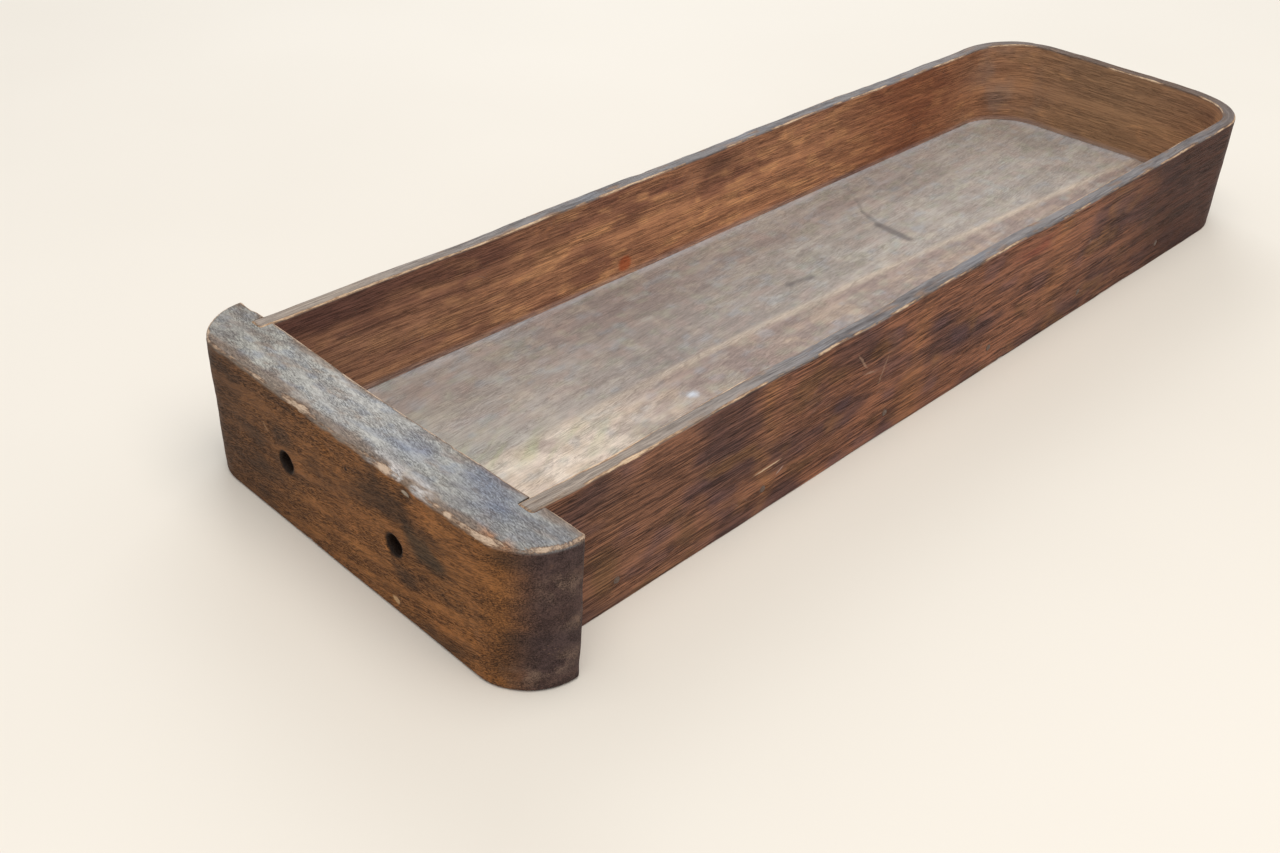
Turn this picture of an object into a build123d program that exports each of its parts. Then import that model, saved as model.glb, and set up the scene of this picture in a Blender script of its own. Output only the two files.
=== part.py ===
from build123d import *
import os

# A long narrow oak drawer.  A solid front block with rounded ends carries two screw
# holes for a pull.  One bent strip makes both sides and the back, and its ends are
# let into housings in the block.  The bottom is one board: it sits in a groove in the
# block and is pinned through the strip with brads.
#
# Frame: millimetres, origin under the middle of the drawer, +X across to the right of
# someone facing the front, +Y from the front to the back, +Z up.

# ---- driving dimensions ----
length = 422.5  # front face of the block to the outside of the back
height = 48.5  # block and strip are flush at top and bottom

front_width = 155.0
front_thickness = 20.0
front_end_radius = 19.0
front_edge_radius = 1.2  # eased edge round the front face

rim_width = 126.0  # the bent strip, outside to outside
rim_thickness = 5.2
rim_corner_radius = 29.0  # outside of the bend at each back corner
rim_edge_radius = 0.6

housing_depth = 4.5  # the strip's ends and the bottom board go this far into the block

board_thickness = 6.0
board_top = 11.7

pull_spacing = 50.8
pull_hole_radius = 3.0

brad_length = 16.0
brad_shank_radius = 0.65
brad_head_radius = 1.2
brad_head_thickness = 0.5
brad_point_length = 1.8
brad_first = 46.0  # first side brad, behind the front face
brad_pitch = 61.0
brads_per_side = 6
back_brad_x = 22.0

# ---- places worked out from them ----
front_y = -length / 2
back_y = length / 2
block_back_y = front_y + front_thickness
housing_y = block_back_y - housing_depth
rim_half = rim_width / 2
rim_inner_half = rim_half - rim_thickness
rim_inner_radius = rim_corner_radius - rim_thickness
board_z = board_top - board_thickness / 2


def u_plan(half_width, back, radius):
    """A plan shape with a square front at the housings and two rounded back corners."""
    plan = Pos(0, (housing_y + back) / 2) * Rectangle(2 * half_width, back - housing_y)
    return fillet(plan.vertices().group_by(Axis.Y)[-1], radius)


def make_brad():
    """One brad: its head on the XY plane, its point down -Z."""
    profile = Polyline(
        (0, 0),
        (brad_head_radius, 0),
        (brad_head_radius, -brad_head_thickness),
        (brad_shank_radius, -brad_head_thickness),
        (brad_shank_radius, brad_point_length - brad_length),
        (0, -brad_length),
        close=True,
    )
    return revolve(Plane.XZ * make_face(profile), Axis.Z)


def make_brads():
    """Every brad by its name: a row on each side, counted from the front, and the back."""
    brads = {}
    for side_name, side in (("left", -1), ("right", 1)):
        for step in range(brads_per_side):
            y = front_y + brad_first + step * brad_pitch
            head = Plane(origin=(side * rim_half, y, board_z), z_dir=(side, 0, 0))
            brads[f"brad_{side_name}_{step + 1}"] = head * make_brad()
        head = Plane(origin=(side * back_brad_x, back_y, board_z), z_dir=(0, 1, 0))
        brads[f"brad_back_{side_name}"] = head * make_brad()
    return brads


def make_front_block():
    plan = Pos(0, (front_y + block_back_y) / 2) * Rectangle(front_width, front_thickness)
    plan = fillet(plan.vertices().group_by(Axis.Y)[0], front_end_radius)
    block = extrude(plan, height)
    eased = [
        edge
        for level in (0, height)
        for edge in block.edges().filter_by_position(Axis.Z, level, level)
        if edge.center().Y < block_back_y - 0.01
    ]
    block = fillet(eased, front_edge_radius)

    housing_size = (rim_thickness, 2 * housing_depth, 3 * height)
    for side in (-1, 1):
        middle = side * (rim_half - rim_thickness / 2)
        block -= Pos(middle, block_back_y, height / 2) * Box(*housing_size)
    groove = Box(2 * rim_inner_half, 2 * housing_depth, board_thickness)
    block -= Pos(0, block_back_y, board_z) * groove

    for side in (-1, 1):
        hole_place = Plane(
            origin=(side * pull_spacing / 2, (front_y + block_back_y) / 2, height / 2),
            z_dir=(0, 1, 0),
        )
        block -= hole_place * Cylinder(pull_hole_radius, 2 * front_thickness)
    return block


def make_bent_rim(brads):
    outside = u_plan(rim_half, back_y, rim_corner_radius)
    inside = u_plan(rim_inner_half, back_y - rim_thickness, rim_inner_radius)
    rim = extrude(outside - inside, height)
    top_edges = [
        edge
        for edge in rim.edges().filter_by_position(Axis.Z, height, height)
        if edge.center().Y > housing_y + 0.01
    ]
    rim = fillet(top_edges, rim_edge_radius)
    for brad in brads:
        rim -= brad
    return rim


def make_bottom_board(brads):
    plan = u_plan(rim_inner_half, back_y - rim_thickness, rim_inner_radius)
    board = Pos(0, 0, board_top - board_thickness) * extrude(plan, board_thickness)
    for brad in brads:
        board -= brad
    return board


brads = make_brads()
pieces = {
    "front_block": make_front_block(),
    "bent_rim": make_bent_rim(brads.values()),
    "bottom_board": make_bottom_board(brads.values()),
    **brads,
}

os.makedirs("parts", exist_ok=True)
for name, piece in pieces.items():
    piece.label = name
    export_step(piece, os.path.join("parts", name + ".step"))
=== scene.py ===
import math

import bmesh
import bpy
import numpy as np
from mathutils import Matrix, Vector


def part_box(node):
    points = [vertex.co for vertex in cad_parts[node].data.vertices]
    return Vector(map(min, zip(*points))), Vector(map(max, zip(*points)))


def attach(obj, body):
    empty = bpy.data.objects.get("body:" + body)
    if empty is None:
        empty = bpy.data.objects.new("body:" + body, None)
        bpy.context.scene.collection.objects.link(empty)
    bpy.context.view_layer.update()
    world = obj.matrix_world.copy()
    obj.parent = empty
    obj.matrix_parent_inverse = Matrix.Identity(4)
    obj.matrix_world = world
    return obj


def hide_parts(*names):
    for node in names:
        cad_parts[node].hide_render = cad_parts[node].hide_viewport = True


# An old bentwood oak drawer that has lost its pull: a front block, one bent strip for
# the sides and back, a bottom board and the brads that pin it.
# Lengths in the shaping code are millimetres; they become metres when a mesh is made.

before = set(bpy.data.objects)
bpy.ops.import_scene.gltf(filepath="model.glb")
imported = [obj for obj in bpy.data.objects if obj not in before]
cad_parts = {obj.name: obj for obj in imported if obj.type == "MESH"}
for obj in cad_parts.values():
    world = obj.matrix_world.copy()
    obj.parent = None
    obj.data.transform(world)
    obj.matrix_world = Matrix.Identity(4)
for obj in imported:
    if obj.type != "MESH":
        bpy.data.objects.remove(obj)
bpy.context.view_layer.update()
MM = 0.001


def box_mm(node):
    """Lowest and highest corner of a CAD node, in millimetres."""
    low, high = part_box(node)
    return np.array(low) / MM, np.array(high) / MM


block_low, block_high = box_mm("front_block")
rim_low, rim_high = box_mm("bent_rim")
board_low, board_high = box_mm("bottom_board")
brad_nodes = sorted(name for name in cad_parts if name.startswith("brad_"))

height = rim_high[2]
rim_thickness = rim_high[0] - board_high[0]
half_board = board_high[0]
rim_bend = 29.0  # outside radius of the two back corners
block_round = 19.0  # radius of the block's front corners
pull_hole_radius = 3.0
pull_spacing = 50.8
housing_depth = 4.5  # how far the strip's ends are let into the block
floor_gap = 0.06  # keeps the worn underside just clear of the floor


# ---- numbers and noise ----


def srgb(red, green, blue):
    """A colour on the 0 to 255 scale, as linear values."""
    value = np.array([red, green, blue]) / 255
    return np.where(value <= 0.04045, value / 12.92, ((value + 0.055) / 1.055) ** 2.4)


def ease(low, high, value):
    """0 below low, 1 above high and smooth between."""
    step = np.clip((value - low) / (high - low), 0, 1)
    return step * step * (3 - 2 * step)


def bump(value, middle, width):
    """A smooth hump, 1 at the middle."""
    return np.exp(-(((value - middle) / width) ** 2))


def cell_value(cell, seed):
    """A fixed random value from -1 to 1 for each whole-number cell."""
    x, y, z = (cell[..., axis].astype(np.uint32) for axis in range(3))
    mixed = x * np.uint32(374761393) + y * np.uint32(668265263) + z * np.uint32(2246822519)
    mixed = mixed + np.uint32(seed * 40503 + 7919)
    mixed = (mixed ^ (mixed >> np.uint32(13))) * np.uint32(1274126177)
    mixed = (mixed ^ (mixed >> np.uint32(15))) * np.uint32(2654435761)
    return (mixed ^ (mixed >> np.uint32(16))) / 2.0**31 - 1


def noise(place, size, seed):
    """Smooth random values from -1 to 1 that change over size, one length or one per axis."""
    scaled = place / np.asarray(size, float)
    cell = np.floor(scaled).astype(np.int64)
    part = scaled - cell
    part = part * part * (3 - 2 * part)
    total = np.zeros(place.shape[:-1])
    for corner in np.ndindex(2, 2, 2):
        share = np.prod(np.where(np.array(corner) == 1, part, 1 - part), axis=-1)
        total += share * cell_value(cell + np.array(corner), seed)
    return total


def rough(place, size, seed, octaves=3):
    """Noise with finer and fainter layers on top, from about -1 to 1."""
    size = np.asarray(size, float)
    layers = [noise(place, size / 2**k, seed + 31 * k) / 2**k for k in range(octaves)]
    return sum(layers) / (2 - 2.0 ** (1 - octaves)) * 1.5


def line_noise(along, size, seed):
    """Noise that changes along one direction only."""
    place = np.stack([along, np.zeros_like(along), np.zeros_like(along)], axis=-1)
    return noise(place, size, seed)


def from_stroke(a, b, start, end):
    """Distance of places (a, b) from a straight stroke between two of them."""
    step = np.array(end, float) - np.array(start)
    along = ((a - start[0]) * step[0] + (b - start[1]) * step[1]) / (step @ step)
    along = np.clip(along, 0, 1)
    return np.hypot(a - start[0] - along * step[0], b - start[1] - along * step[1])


# ---- shaping ----


def worn_edge(depth_a, depth_b, radius):
    """Depths below two faces that meet at an edge, brought in to a round of that radius."""
    gap_a, gap_b = radius - depth_a, radius - depth_b
    inside = (gap_a > 0) & (gap_b > 0)
    reach = np.where(inside, np.hypot(gap_a, gap_b), 1)
    shrink = np.where(inside, np.minimum(radius / np.maximum(reach, 1e-6), 1), 1)
    return (
        np.where(inside, radius - gap_a * shrink, depth_a),
        np.where(inside, radius - gap_b * shrink, depth_b),
    )


def chips(along, size, share, seed):
    """Short bites along an edge: 0 on most of it and up to 1 in the given share."""
    value = line_noise(along, size * 2.3, seed) + 0.7 * line_noise(along, size, seed + 5)
    value = 0.75 * value + 0.4 * line_noise(along, size / 2.7, seed + 9)
    return ease(1 - 2 * share, 1.6 - 2 * share, value)


def spaced(length, coarse, fine, zone):
    """Places from 0 to length: fine steps within zone of both ends, coarse ones between."""
    edge = np.linspace(0, zone, int(round(zone / fine)) + 1)
    middle = np.linspace(zone, length - zone, int(round((length - 2 * zone) / coarse)) + 1)
    return np.concatenate([edge[:-1], middle, length - edge[::-1][1:]])


def with_fine_stretches(places, middles, reach, fine):
    """The same places with closer ones added around each of the middles."""
    extra = [np.arange(middle - reach, middle + reach, fine) for middle in middles]
    joined = np.sort(np.concatenate([places, *extra]))
    keep = np.concatenate([[True], np.diff(joined) > fine * 0.6])
    keep[-1] = True
    return joined[keep]


def new_object(name, data):
    """An object in the scene that shows a mesh, light or camera."""
    made = bpy.data.objects.new(name, data)
    bpy.context.scene.collection.objects.link(made)
    return made


def new_piece(name, points, faces):
    """A smooth mesh object from points in millimetres, riding on the drawer's body."""
    mesh = bpy.data.meshes.new(name)
    mesh.from_pydata((points * MM).tolist(), [], faces)
    mesh.validate()
    mesh.shade_smooth()
    piece = new_object(name, mesh)
    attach(piece, "root")
    return piece


def outline(*sides):
    """One closed line of points from straight sides, each given by its two coordinates."""
    return np.concatenate([np.stack(np.broadcast_arrays(a, b), axis=1)[:-1] for a, b in sides])


def ring_faces(rings, around):
    """Quads between neighbouring closed rings of points, and a flat cap on both ends."""
    first = np.arange(around)
    following = (first + 1) % around
    quads = [
        np.stack([first, following, following + around, first + around], axis=1) + ring * around
        for ring in range(rings - 1)
    ]
    faces = np.concatenate(quads).tolist()
    faces.append(list(range(around))[::-1])
    faces.append(list(range((rings - 1) * around, rings * around)))
    return faces


def paint_values(piece, **layers):
    """Keeps numbers, or colours or places, one for each point of the mesh."""
    for name, values in layers.items():
        values = np.asarray(values, np.float32)
        if values.size == len(piece.data.vertices):
            layer = piece.data.attributes.new(name, "FLOAT", "POINT")
            layer.data.foreach_set("value", values.ravel())
        else:
            layer = piece.data.attributes.new(name, "FLOAT_VECTOR", "POINT")
            layer.data.foreach_set("vector", values.ravel())


def blend_colour(base, other, share):
    """Colours moved from base to other by a share for each point."""
    return base + (np.asarray(other) - base) * np.clip(share, 0, 1)[..., None]


def lay(colour, *washes):
    """Lays washes over a colour.  Each is a tone with its share at each point."""
    for tone, share in washes:
        colour = blend_colour(colour, srgb(*tone), share)
    return colour


def add_patches(colour, place, rows):
    """Lays ragged patches over a colour.

    Each row has the patches' colour, strength, size and seed, and the two noise
    values between which they fade in.
    """
    for tone, strength, size, seed, low, high in rows:
        share = strength * ease(low, high, rough(place, size, seed))
        colour = blend_colour(colour, srgb(*tone), share)
    return colour


# ---- the bent strip ----

rim_front = rim_low[1]
rim_half = rim_high[0]
rim_middle_radius = rim_bend - rim_thickness / 2
bend_centre_x = rim_half - rim_bend
bend_centre_y = rim_high[1] - rim_bend
side_run = bend_centre_y - rim_front
bend_run = rim_middle_radius * math.pi / 2
back_run = 2 * bend_centre_x
rim_run = 2 * side_run + 2 * bend_run + back_run


def along_rim(run):
    """Middle of the strip and its outward direction, by the distance from its left end."""
    turn_left = np.clip((run - side_run) / bend_run, 0, 1) * math.pi / 2
    turn_right = np.clip((run - side_run - bend_run - back_run) / bend_run, 0, 1) * math.pi / 2
    turn = turn_left + turn_right
    outward = np.stack([-np.cos(turn), np.sin(turn)], axis=-1)
    centre_x = -bend_centre_x + np.clip(run - side_run - bend_run, 0, back_run)
    centre_y = rim_front + np.clip(run, 0, side_run)
    centre_y = centre_y - np.clip(run - rim_run + side_run, 0, side_run)
    middle = np.stack([centre_x, centre_y], axis=-1) + rim_middle_radius * outward
    return middle, outward


def nearest_run(x, y):
    """Distance along the strip of the place nearest to (x, y)."""
    runs = np.linspace(0, rim_run, 9000)
    middle, _ = along_rim(runs)
    return runs[np.argmin(np.hypot(middle[:, 0] - x, middle[:, 1] - y))]


def right_run(y):
    """Distance along the strip of a place on its right side."""
    return rim_run - (y - rim_front)


def make_rim(brad_places):
    half = rim_thickness / 2
    brad_runs = [nearest_run(x, y) for x, y, _ in brad_places]
    brad_z = brad_places[0][2]

    up = with_fine_stretches(spaced(height, 1.6, 0.36, 2.9), [brad_z], 2.2, 0.55)
    down = spaced(height, 1.65, 0.36, 2.9)[::-1]
    across = spaced(rim_thickness, 0.5, 0.4, 1.2)
    section = outline((half, up), (half - across, height), (-half, down), (across - half, 0.0))
    runs = with_fine_stretches(np.linspace(0, rim_run, 700), brad_runs, 2.2, 0.55)
    run, out = np.meshgrid(runs, section[:, 0], indexing="ij")
    z = np.broadcast_to(section[:, 1], run.shape)
    rest = np.stack([run, z, out], axis=-1)
    free = ease(3, 14, run) * ease(3, 14, rim_run - run)  # 0 where the housings hold it

    below_top, above_bottom = height - z, z
    from_outside, from_inside = half - out, half + out
    bites = {}
    for name, wear, seed in (("outer", 0.75, 11), ("inner", 0.65, 12), ("under", 0.55, 13)):
        bite = chips(run, 9.0, 0.16, seed) * (0.5 + 0.5 * line_noise(run, 37, seed + 50))
        bites[name] = bite * free
        bites[name + "_radius"] = wear + 0.3 * line_noise(run, 23, seed + 90) + 1.5 * bites[name]
    split = bump(run, right_run(-166), 13) * free
    bites["inner_radius"] = bites["inner_radius"] + 0.9 * split * ease(0, 1, split)
    below_top, from_outside = worn_edge(below_top, from_outside, bites["outer_radius"])
    below_top, from_inside_top = worn_edge(below_top, from_inside, bites["inner_radius"])
    above_bottom, from_outside = worn_edge(above_bottom, from_outside, bites["under_radius"])
    above_bottom, from_inside_low = worn_edge(above_bottom, from_inside_top, bites["under_radius"])
    on_outer_half = out > 0
    out = np.where(on_outer_half, half - from_outside, from_inside_low - half)
    z = np.where(z > height / 2, height - below_top, above_bottom)

    # The top edge has worn into long shallow waves; hands have worn it more near the front.
    wave = 0.55 + 0.5 * line_noise(run, 46, 21) + 0.28 * line_noise(run, 17, 22)
    wave = np.clip(wave, 0, None) + 0.10 * line_noise(run, 5.5, 23)
    wave = wave + 0.5 * bump(run, right_run(-60), 45) + 0.4 * bump(run, right_run(60), 50)
    z = np.maximum(z * (1 - np.clip(wave, 0, 1.7) * free / height), floor_gap)

    # Both faces are slightly uneven, and each brad head sits in a small hollow.
    uneven = 0.16 * rough(rest, (70, 14, 9), 24) + 0.07 * noise(rest, (14, 2.6, 5), 25)
    hollow = np.zeros_like(run)
    for brad_run in brad_runs:
        hollow += ease(1.9, 1.2, np.hypot(run - brad_run, rest[..., 1] - brad_z))
    out = out + np.where(on_outer_half, uneven, -uneven) * free
    out = out - 0.26 * hollow * on_outer_half
    out = out * (1 - 0.05 * (1 - free))

    # Both sides have drawn in slightly halfway along.
    middle, outward = along_rim(run)
    drawn_in = 0.21 * np.sin(math.pi * np.clip(run / side_run, 0, 1))
    drawn_in += 0.18 * np.sin(math.pi * np.clip((rim_run - run) / side_run, 0, 1))
    plan = middle + outward * (out - drawn_in)[..., None]
    points = np.concatenate([plan, z[..., None]], axis=-1).reshape(-1, 3)

    rim = new_piece("worn_rim", points, ring_faces(len(runs), len(section)))
    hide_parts("bent_rim")

    # What the finish needs to know about each point.
    top_depth = height - rest[..., 1]
    outer_edge = np.maximum(top_depth, half - rest[..., 2])
    inner_edge = np.maximum(top_depth, half + rest[..., 2])
    low_edge = np.maximum(rest[..., 1], np.minimum(half - rest[..., 2], half + rest[..., 2]))
    broken = ease(-0.5, 0.5, line_noise(run, 13, 31) + 0.5 * line_noise(run, 4, 32))
    bare = (0.42 + 0.58 * broken) * ease(0.95, 0.2, outer_edge - 1.1 * bites["outer"])
    broken = ease(-0.7, 0.3, line_noise(run, 21, 33) + 0.5 * line_noise(run, 5, 34))
    broken = np.maximum(broken, ease(110, 80, np.minimum(run, rim_run - run)))
    inner_bare = ease(0.95, 0.2, inner_edge - 1.0 * bites["inner"] - 1.2 * split)
    bare = np.maximum(bare, (0.25 + 0.75 * broken) * inner_bare)
    bare = np.maximum(bare, 0.5 * ease(0.9, 0.1, low_edge - 0.5 * bites["under"]))
    bare = np.maximum(bare, 0.8 * (1 - ease(0.0, 0.8, np.minimum(run, rim_run - run))))
    calm = (0.4 + 0.25 * bump(run, rim_run / 2, 110)) * ease(0.1, -0.1, out / half)
    # The top is weathered grey; its bluish grey patches are a painted sky sheen.
    grey = add_patches(srgb(126, 121, 120), rest, (
        ((96, 90, 90), 1, (9, 9, 2.4), 35, 0.0, 0.8),
        ((122, 121, 125), 1, (15, 9, 3.0), 36, 0.1, 0.8),
        ((142, 112, 88), 0.7, (7, 9, 2.0), 37, 0.2, 0.8),
    ))
    front_end = ease(120, 20, np.minimum(run, rim_run - run))
    grey = lay(
        grey,
        ((160, 144, 128), 0.7 * front_end),
        ((104, 82, 66), 0.9 * bump(run, rim_run / 2, 80)),
    )
    paint_values(
        rim, grain_place=rest, bare=bare, greyed=ease(0.9, 0.35, top_depth), calm=calm,
        tint=rim_tint(rest), grey_tint=grey,
    )
    return rim


def rim_tint(rest):
    """Broad colours of the strip: dark outside, warmer and lighter inside."""
    run, z, out = rest[..., 0], rest[..., 1], rest[..., 2]
    half = rim_thickness / 2
    # The purple-grey patches on the outside are a painted bluish sheen.
    colour = add_patches(srgb(142, 94, 70), rest, (
        ((98, 66, 59), 1, (26, 10, 40), 41, -0.1, 0.7),
        ((128, 88, 60), 1, (14, 9, 40), 42, 0.2, 0.8),
        ((96, 74, 84), 0.4, (13, 8, 40), 43, 0.1, 0.8),
    ))
    upright_bands = ((-104, 3.2, 0.6), (-30, 4.5, 0.5), (56, 5.5, 0.65), (-168, 6, 0.3))
    for y, width, strength in upright_bands:
        ragged = run + 4 * noise(rest, (9, 9, 40), 44)
        band = bump(ragged, right_run(y), width) * (0.75 + 0.5 * noise(rest, (30, 11, 40), 48))
        colour = lay(colour, ((158, 108, 70), strength * band * (out > 0)))
    # Outside near the right front end the colour is made cooler: a painted bluish sheen.
    cool_sheen = ease(150, 40, rim_run - run)[..., None] * (out > 0)[..., None]
    colour = colour * (1 - cool_sheen * np.array([0.12, 0.03, -0.04]))
    red = bump(run, right_run(40), 13) * bump(z, 41, 5)
    red = red * ease(-0.5, 0.4, rough(rest, (9, 4, 40), 38))
    colour = lay(colour, ((140, 66, 50), 0.55 * red * (out > 0)))
    right_back = right_run(bend_centre_y)
    shaded = ease(right_back + 110, right_back + 25, run)
    shaded = shaded * ease(rim_run / 2 - 60, rim_run / 2 + 20, run)
    colour = lay(colour, ((58, 26, 17), 0.88 * shaded))

    inside = ease(0.1, -0.1, out / half)
    inner = add_patches(srgb(196, 142, 106), rest, (
        ((160, 112, 88), 1, (22, 7, 40), 45, -0.1, 0.8),
        ((220, 164, 118), 1, (10, 3.2, 40), 46, 0.1, 0.7),
    ))
    upper = ease(30, 43, z + 7 * rough(rest, (26, 30, 40), 47))
    front = ease(170, 20, run) + ease(170, 20, rim_run - run)
    inner = lay(
        inner,
        ((104, 72, 66), 0.75 * upper * (0.25 + front)),
        ((144, 110, 92), 0.65 * front * (1 - upper)),
    )
    back = bump(run, rim_run / 2, 70)
    inner = lay(inner, ((166, 135, 104), 0.8 * back))
    far = bump(run, rim_run / 2 - 125, 45) + bump(run, rim_run / 2 + 125, 45)
    inner = lay(inner, ((148, 90, 62), 0.75 * far))
    corner = bump(run, side_run + bend_run / 2, 22) * ease(-0.6, 0.5, rough(rest, 12, 49))
    inner = lay(inner, ((150, 134, 124), 0.5 * corner))
    dark_blot = bump(run, 6 - rim_front, 11) * bump(z, 42, 5)
    inner = lay(
        inner,
        ((86, 62, 56), 0.6 * dark_blot),
        ((168, 158, 158), 0.45 * ease(14.2, 12.2, z)),
    )
    return blend_colour(colour, inner, inside)


# ---- the bottom board ----


def growth_line(y):
    """Where a hard growth line stands a little proud, by its distance across."""
    bend, straight_until = 35.0, -35.0
    return 0.2 + 0.0715 * bend * np.logaddexp(0, (y - straight_until) / bend)


def make_board():
    bend = half_board - bend_centre_x
    thickness = board_high[2] - board_low[2]
    ys = np.linspace(board_low[1], board_high[1], 336)
    reach = np.clip(ys - bend_centre_y, 0, bend)
    half_widths = bend_centre_x + np.sqrt(np.maximum(bend**2 - reach**2, 0))
    across = spaced(2 * half_board, 1.15, 0.5, 2.5)[::-1] / half_board - 1
    up = np.linspace(0, thickness, 5)
    section = outline((across, thickness), (-1.0, up[::-1]), (across[::-1], 0.0), (1.0, up))
    y, lift = np.meshgrid(ys, section[:, 1], indexing="ij")
    x = section[:, 0] * half_widths[:, None]
    rest = np.stack([y, x, lift], axis=-1)

    top = lift / thickness
    off_line = x - growth_line(y)
    level = 0.18 * rough(rest, (90, 22, 50), 61) + 0.06 * noise(rest, (16, 3.5, 50), 62)
    level = level - 0.25 * ease(-1.5, 1.5, off_line) + 0.3 * bump(off_line, 0, 1.1)
    dents = ((-96, -20, 2.0, 0.35), (18, 24, 1.6, 0.3), (74, -12, 2.4, 0.3), (-140, 30, 1.8, 0.3))
    for dent_y, dent_x, size, deep in dents:
        level = level - deep * bump(np.hypot(y - dent_y, x - dent_x), 0, size)
    points = np.stack([x, y, board_low[2] + lift + level * top], axis=-1).reshape(-1, 3)
    board = new_piece("worn_bottom", points, ring_faces(len(ys), len(section)))
    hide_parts("bottom_board")

    knocked = (0.35 + 0.3 * line_noise(y, 9, 77)) * bump(off_line, 0.0, 0.9) * top
    tint = board_tint(rest, top, off_line)
    paint_values(board, grain_place=rest, bare=knocked, calm=0.15 * top, tint=tint)
    return board


def board_tint(rest, top, off_line):
    """Broad colours of the board: a dusty grey film that stops at the growth line."""
    y, x = rest[..., 0], rest[..., 1]
    colour = add_patches(srgb(162, 153, 145), rest, (
        ((147, 139, 131), 0.9, (24, 11, 50), 71, -0.2, 0.8),
        ((172, 166, 157), 0.7, (9, 7, 50), 72, 0, 0.8),
        ((146, 132, 122), 0.6, (15, 5, 50), 78, 0.1, 0.9),
    ))
    colour = lay(
        colour,
        ((136, 125, 119), 0.75 * bump(y, -62, 42)),
        ((138, 122, 118), 0.45 * bump(x, -42, 9) * ease(-190, -60, -y)),
    )
    walls = ease(half_board - 5, half_board - 1, np.abs(x)) + ease(196, 204, y)
    colour = lay(colour, ((184, 182, 186), 0.5 * walls * (off_line < 0)))
    strip = ease(-0.6, 2.2, off_line)
    bare_strip = srgb(143, 126, 118)
    bare_strip = lay(
        bare_strip,
        ((224, 209, 192), 0.9 * ease(-70, -130, y)),
        ((158, 150, 138), 0.6 * ease(-160, -182, y)),
    )
    bare_strip = add_patches(bare_strip, rest, (
        ((184, 162, 138), 0.5, (7, 5, 50), 73, -0.1, 0.6),
        ((138, 120, 114), 0.65, (10, 6, 50), 79, 0.1, 0.6),
    ))
    cross_bands = ease(0, 0.6, rough(rest, (8, 44, 50), 75)) * ease(-80, -30, y)
    bare_strip = lay(bare_strip, ((182, 160, 142), 0.35 * cross_bands))
    colour = blend_colour(colour, bare_strip, 0.85 * strip)
    beside_line = bump(off_line, 3.4, 2.4) * ease(-150, -60, y)
    colour = lay(colour, ((138, 120, 112), 0.45 * beside_line))
    hues = ((150, 158, 164), (170, 148, 138), (150, 152, 132), (176, 166, 150))
    colour = add_patches(
        colour, rest, [(hue, 0.34, (6, 3.6, 50), 66 + k, 0.1, 0.8) for k, hue in enumerate(hues)]
    )
    colour = colour * (1 + 0.07 * noise(rest, (2.6, 1.6, 50), 63))[..., None]
    # The pale line along the growth line is partly wear on the ridge and partly a painted highlight
    # where its edge catches the light.
    line_strength = 0.45 + 0.25 * ease(-150, -20, y) + 0.15 * line_noise(y, 12, 64)
    colour = lay(colour, ((192, 176, 158), line_strength * bump(off_line, 0, 1.5)))
    green = bump(y, -140, 24) * bump(x - 0.35 * (y + 140), 4, 9)
    strokes = ease(-0.1, 0.5, noise(rest @ turn_plan(0.5), (12, 2.2, 50), 76))
    colour = lay(
        colour,
        ((156, 162, 122), 0.55 * green * strokes),
        ((164, 170, 160), 0.35 * bump(y, -172, 14) * bump(x, -8, 22)),
    )

    ragged = 0.6 * noise(rest, (3, 3, 50), 65)
    hook = ((76, -42), (68, -32), (63, -19), (61.5, -4))
    for start, end, wide, strength in zip(hook, hook[1:], (0.9, 1.1, 2.1), (0.35, 0.45, 0.75)):
        stroke = from_stroke(y, x, start, end) + ragged
        stroke = strength * ease(1.5 * wide, 0.4 * wide, stroke)
        colour = lay(colour, ((98, 92, 90), stroke))
    smudge = from_stroke(y, x, (-4, -11.2), (8, -9.8)) + ragged
    colour = lay(colour, ((96, 90, 90), 0.6 * ease(2.2, 0.6, smudge)))
    for spot_y, spot_x, size in ((-84, -12, 3.0), (-76, -3, 2.6), (126, -0.5, 3.4), (-30, -30, 4)):
        spot = np.hypot(x - spot_x, (y - spot_y) * 0.7) / size + 0.4 * ragged
        colour = lay(colour, ((120, 110, 108), 0.4 * ease(1.3, 0.3, spot)))
    drip = np.hypot((x - 15.7) / 1.7, (y + 85) / 2.4) + 0.5 * ragged
    colour = lay(colour, ((198, 206, 216), 0.75 * ease(1.3, 0.4, drip)))
    stroke = from_stroke(y, x, (15, -24.5), (22, -27.5)) + ragged
    colour = lay(colour, ((188, 182, 172), 0.4 * ease(1.3, 0.4, stroke)))
    under = add_patches(srgb(118, 88, 62), rest, (
        ((88, 66, 50), 1, (60, 14, 50), 74, -0.3, 0.9),
        ((74, 54, 42), 0.7, (40, 2.2, 50), 70, 0, 0.8),
    ))
    return blend_colour(under, colour, top)


def turn_plan(angle):
    """Turns along and across values in the plane of a board."""
    cosine, sine = math.cos(angle), math.sin(angle)
    return np.array([[cosine, sine, 0], [-sine, cosine, 0], [0, 0, 1.0]])


# ---- the front block ----


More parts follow.
